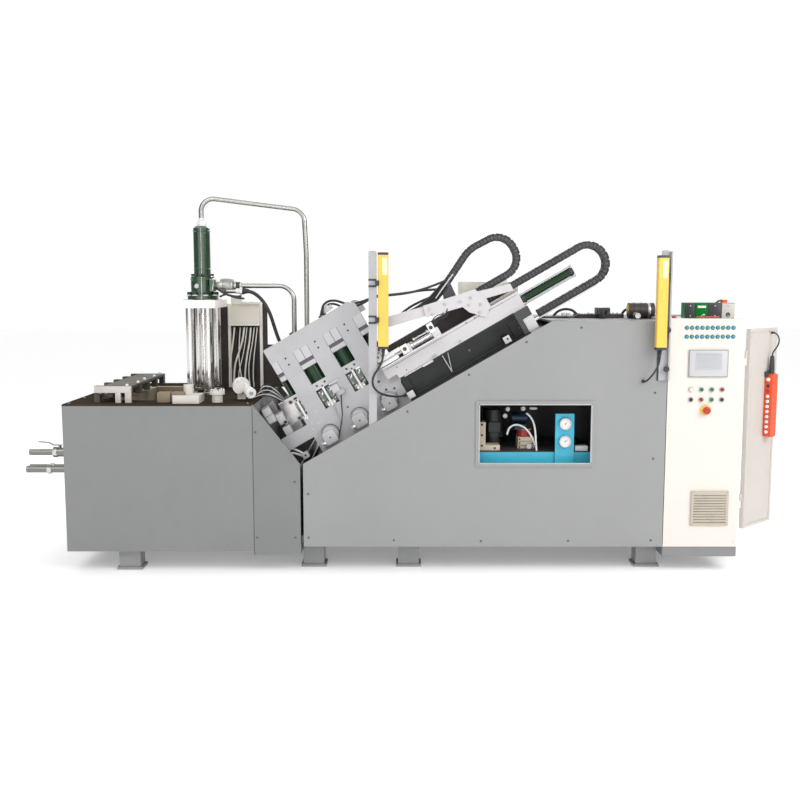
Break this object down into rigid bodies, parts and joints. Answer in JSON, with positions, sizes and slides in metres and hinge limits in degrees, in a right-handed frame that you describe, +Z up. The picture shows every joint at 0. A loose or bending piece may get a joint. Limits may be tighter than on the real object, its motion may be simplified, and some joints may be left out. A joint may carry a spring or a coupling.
{
  "type": "die casting machine",
  "caption": "Hot chamber die casting machine: furnace and injector on the left, sloped bed with a slotted die head and take-out arm, housing and control cabinet with a side door.",
  "frame": {"origin": "on the floor, under the middle of the machine's bounding box", "axes": "+X along the machine from the furnace to the cabinet, -Y to the operator in front, +Z up"},
  "size_m": [4.2914, 1.276, 2.1452],
  "materials": {
    "casing_grey": "satin",
    "deck_brown": "matte",
    "firebrick": "matte",
    "pot_iron": "matte",
    "foot_grey": "satin",
    "wedge_grey": "satin",
    "heater_grey": "satin",
    "fitting_grey": "satin",
    "pipe_steel": "satin",
    "lever_red": "satin",
    "column_steel": "satin",
    "cylinder_green": "gloss",
    "rod_chrome": "gloss",
    "junction_cream": "satin",
    "panel_grey": "satin",
    "frame_grey": "satin",
    "back_brown": "satin",
    "bed_dark": "satin",
    "tank_blue": "satin",
    "gauge_blue": "satin",
    "motor_dark": "satin",
    "valve_beige": "satin",
    "hydraulic_dark": "satin",
    "head_grey": "satin",
    "strip_pale": "satin",
    "clamp_green": "gloss",
    "clamp_white": "satin",
    "nut_grey": "satin",
    "die_steel": "satin",
    "platen_grey": "satin",
    "clamp_housing_grey": "satin",
    "cover_cream": "satin",
    "beam_pale": "satin",
    "channel_dark": "satin",
    "trough_pale": "satin",
    "stroke_green": "gloss",
    "arm_pale": "satin",
    "gripper_alu": "satin",
    "chain_grey": "matte",
    "post_grey": "satin",
    "curtain_yellow": "satin",
    "cabinet_white": "satin",
    "plinth_grey": "satin",
    "display_grey": "gloss",
    "control_mix": "gloss",
    "vent_beige": "satin",
    "valve_unit_green": "satin",
    "door_cream": "satin",
    "pendant_orange": "satin",
    "hose_black": "satin"
  },
  "bodies": {
    "machine": {"furnace_casing": "casing_grey", "furnace_deck": "deck_brown", "furnace_lining": "firebrick", "crucible": "pot_iron", "machine_feet": "foot_grey", "wedge_cover": "wedge_grey", "heater_frames": "heater_grey", "port_fittings": "fitting_grey", "burner_pipes": "pipe_steel", "injector_frame": "column_steel", "shot_cylinder": "cylinder_green", "pressure_pipes": "pipe_steel", "junction_frame": "junction_cream", "front_panel": "panel_grey", "back_panel": "panel_grey", "housing_frame": "frame_grey", "wire_panel": "back_brown", "drive_cover": "back_brown", "bed_plate": "bed_dark", "oil_tank": "tank_blue", "gauge_panel": "gauge_blue", "pump_motor": "motor_dark", "pump_valves": "valve_beige", "deck_hydraulics": "hydraulic_dark", "head_plates": "head_grey", "slot_guides": "strip_pale", "clamp_cylinders": "clamp_green", "clamp_heads": "clamp_white", "guide_discs": "nut_grey", "die_set": "die_steel", "fixed_platen": "platen_grey", "clamp_housing": "clamp_housing_grey", "rear_cover": "cover_cream", "arm_beam": "beam_pale", "side_channel": "channel_dark", "chain_trough": "trough_pale", "stroke_cylinder": "stroke_green", "take_out_arm": "arm_pale", "gripper_cylinder": "gripper_alu", "arm_chain": "chain_grey", "beam_chain": "chain_grey", "curtain_posts": "post_grey", "light_curtains": "curtain_yellow", "cabinet_shell": "cabinet_white", "cabinet_plinth": "plinth_grey", "display": "display_grey", "panel_controls": "control_mix", "vent_grille": "vent_beige", "valve_unit": "valve_unit_green", "right_curtain_cord": "hose_black", "left_curtain_cord": "hose_black", "injector_hose": "hose_black", "head_hose": "hose_black", "arm_hose": "hose_black"},
    "plunger": {"plunger_rod": "rod_chrome"},
    "gas_lever": {"valve_lever": "lever_red"},
    "gripper": {"gripper_rod": "rod_chrome"},
    "door": {"side_door": "door_cream", "pendant": "pendant_orange", "pendant_cord": "hose_black"}
  },
  "joints": [
    {"name": "plunger_slide", "type": "slide", "parent": "machine", "child": "plunger", "axis": [0, 0, -1], "range_m": [0, 0.12]},
    {"name": "gas_lever_turn", "type": "hinge", "parent": "machine", "child": "gas_lever", "pos_m": [-1.9413, -0.412, 0.7], "axis": [0, 0, 1], "range_deg": [0, 90]},
    {"name": "gripper_slide", "type": "slide", "parent": "machine", "child": "gripper", "axis": [-0.866, 0, -0.5], "range_m": [0, 0.06]},
    {"name": "door_hinge", "type": "hinge", "parent": "machine", "child": "door", "pos_m": [1.9107, -0.556, 0.8], "axis": [0, 0, -1], "range_deg": [-47.4, 60]}
  ]
}
